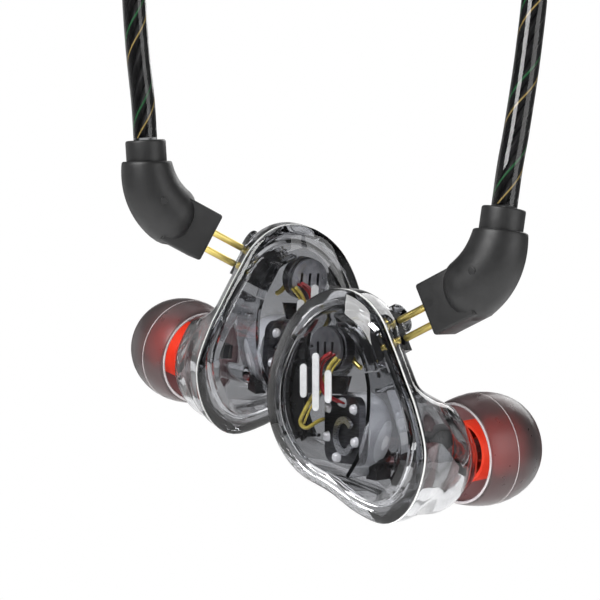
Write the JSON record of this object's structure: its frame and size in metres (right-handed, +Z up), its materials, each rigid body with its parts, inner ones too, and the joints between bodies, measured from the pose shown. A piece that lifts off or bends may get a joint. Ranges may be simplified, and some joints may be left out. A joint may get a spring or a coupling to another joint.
{
  "type": "in-ear monitors",
  "caption": "Clear-shelled in-ear monitors with silicone tips on a detachable two-pin cable, hung from its tied coil.",
  "frame": {"origin": "top of the coil's tie, where the set is hung up", "axes": "+Z up, +X to the side of the right earpiece, +Y away from the faceplates"},
  "size_m": [0.0483, 0.0482, 0.1624],
  "materials": {
    "smoke_shell": "clear smoky acrylic, polished",
    "smoke_cup": "translucent smoke grey moulding",
    "white_print": "white print",
    "dark_metal": "dark grey plated steel",
    "silver_metal": "satin nickel",
    "gold": "polished gold plating",
    "black_plastic": "fine matte moulding",
    "red_wire": "enamelled wire",
    "yellow_wire": "enamelled wire",
    "mesh_steel": "fine woven screen",
    "damper_foam": "open foam",
    "grey_silicone": "translucent smoke grey silicone",
    "red_silicone": "red silicone",
    "clear_sleeve": "clear sleeve over black twisted cord, glossy",
    "cable_jacket": "black twisted cord with green and gold strands",
    "tie_fabric": "black hook-and-loop strap"
  },
  "bodies": {
    "harness": {"right_plug_body": "black_plastic", "right_plug_collar": "black_plastic", "right_plug_pin_a": "gold", "right_plug_pin_b": "gold", "right_ear_guide": "clear_sleeve", "right_cable": "cable_jacket", "left_plug_body": "black_plastic", "left_plug_collar": "black_plastic", "left_plug_pin_a": "gold", "left_plug_pin_b": "gold", "left_ear_guide": "clear_sleeve", "left_cable": "cable_jacket", "coil": "cable_jacket", "coil_tie": "tie_fabric", "y_split": "black_plastic", "trunk_cable": "cable_jacket", "jack_boot": "black_plastic", "jack_body": "black_plastic", "jack_sleeve": "gold", "jack_ring": "gold", "jack_tip": "gold"},
    "cinch": {"cinch": "black_plastic"},
    "right_earpiece": {"right_shell": "smoke_shell", "right_faceplate": "smoke_shell", "right_emblem": "white_print", "right_driver_plate": "dark_metal", "right_driver_ring": "silver_metal", "right_driver_housing": "smoke_cup", "right_driver_magnet": "silver_metal", "right_driver_diaphragm": "mesh_steel", "right_tweeter_body": "dark_metal", "right_tweeter_plate": "silver_metal", "right_socket": "black_plastic", "right_socket_board": "gold", "right_driver_cradle": "black_plastic", "right_wire_red": "red_wire", "right_wire_yellow": "yellow_wire", "right_nozzle_damper": "damper_foam", "right_nozzle_mesh": "mesh_steel"},
    "right_ear_tip": {"right_ear_tip": "grey_silicone", "right_ear_tip_core": "red_silicone"},
    "left_earpiece": {"left_shell": "smoke_shell", "left_faceplate": "smoke_shell", "left_emblem": "white_print", "left_driver_plate": "dark_metal", "left_driver_ring": "silver_metal", "left_driver_housing": "smoke_cup", "left_driver_magnet": "silver_metal", "left_driver_diaphragm": "mesh_steel", "left_tweeter_body": "dark_metal", "left_tweeter_plate": "silver_metal", "left_socket": "black_plastic", "left_socket_board": "gold", "left_driver_cradle": "black_plastic", "left_wire_red": "red_wire", "left_wire_yellow": "yellow_wire", "left_nozzle_damper": "damper_foam", "left_nozzle_mesh": "mesh_steel"},
    "left_ear_tip": {"left_ear_tip": "grey_silicone", "left_ear_tip_core": "red_silicone"}
  },
  "joints": [
    {"name": "right_plug_fit", "type": "slide", "parent": "harness", "child": "right_earpiece", "axis": [-0.746, 0.5223, -0.4131], "range_m": [-0.004, 0.006]},
    {"name": "right_tip_pull", "type": "slide", "parent": "right_earpiece", "child": "right_ear_tip", "axis": [0.7911, 0.6065, 0.08], "range_m": [0, 0.0095]},
    {"name": "left_plug_fit", "type": "slide", "parent": "harness", "child": "left_earpiece", "axis": [0.8222, 0.3604, -0.4406], "range_m": [-0.004, 0.006]},
    {"name": "left_tip_pull", "type": "slide", "parent": "left_earpiece", "child": "left_ear_tip", "axis": [-0.5931, 0.774, 0.2219], "range_m": [0, 0.0095]},
    {"name": "cinch_slide", "type": "slide", "parent": "harness", "child": "cinch", "axis": [0, 0, 1], "range_m": [0, 0.01]}
  ]
}
